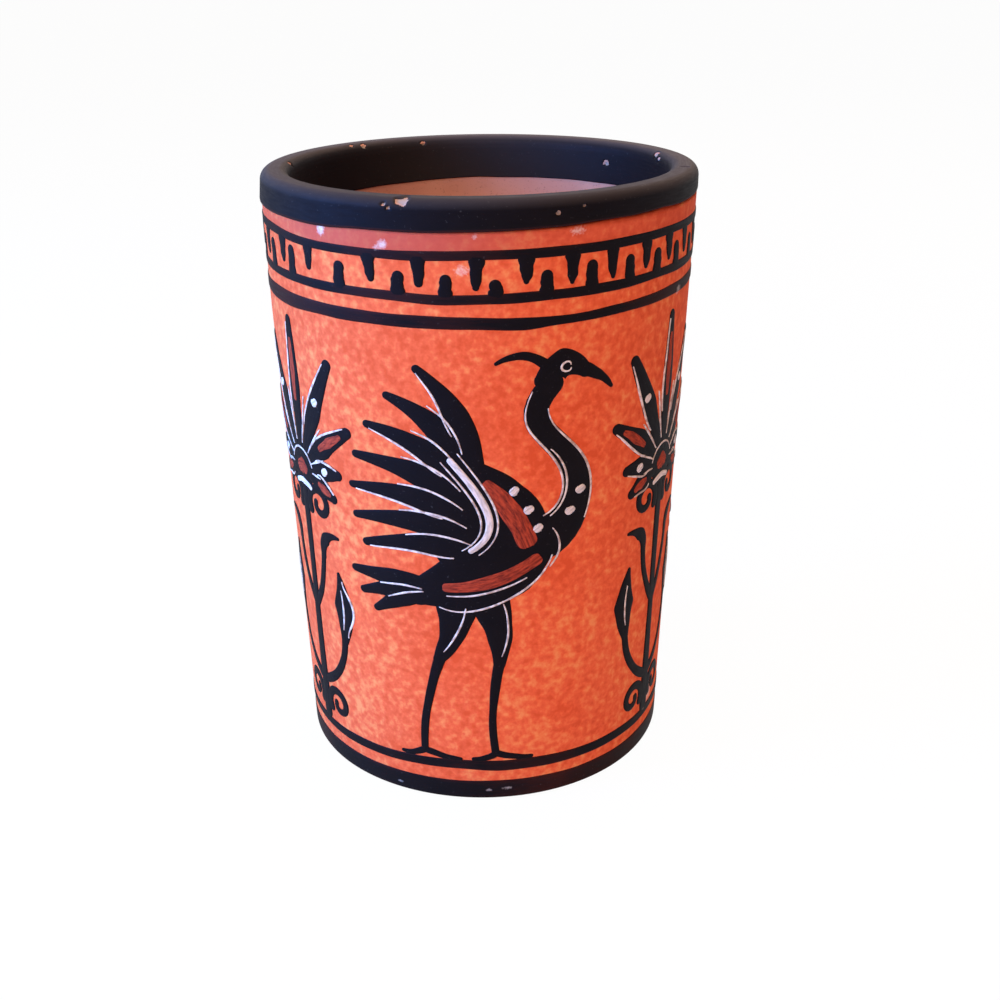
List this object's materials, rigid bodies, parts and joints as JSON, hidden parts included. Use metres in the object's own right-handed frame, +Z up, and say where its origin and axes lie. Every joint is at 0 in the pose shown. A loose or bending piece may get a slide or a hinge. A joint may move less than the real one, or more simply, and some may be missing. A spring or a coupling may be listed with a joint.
{
  "type": "ceramic beaker",
  "caption": "Straight-sided tapered clay beaker with a rounded black lip, a tongue border and a black-figure frieze of birds and palmette trees on orange slip.",
  "frame": {"origin": "middle of the flat underside", "axes": "+Z up through the mouth, -Y towards the front of the frieze, +X to the right of the front"},
  "size_m": [0.076, 0.076, 0.109],
  "materials": {
    "clay": "matt bare fired clay",
    "orange_slip": "satin mottled slip",
    "black_slip": "satin slip",
    "red_slip": "matt slip",
    "white_slip": "matt slip"
  },
  "bodies": {
    "root": {"floor_disc": "clay", "body_wall": "clay", "rim_ring": "clay", "orange_slip": "orange_slip", "rim_black_slip": "black_slip", "key_top_line": "black_slip", "key_bottom_line": "black_slip", "key_hanging_tongues": "black_slip", "key_standing_tongues": "black_slip", "frieze_top_line": "black_slip", "frieze_ground_line": "black_slip", "foot_band": "black_slip", "frieze_birds": "black_slip", "frieze_trees": "black_slip", "frieze_red_wash": "red_slip", "frieze_white_paint": "white_slip"}
  },
  "joints": []
}
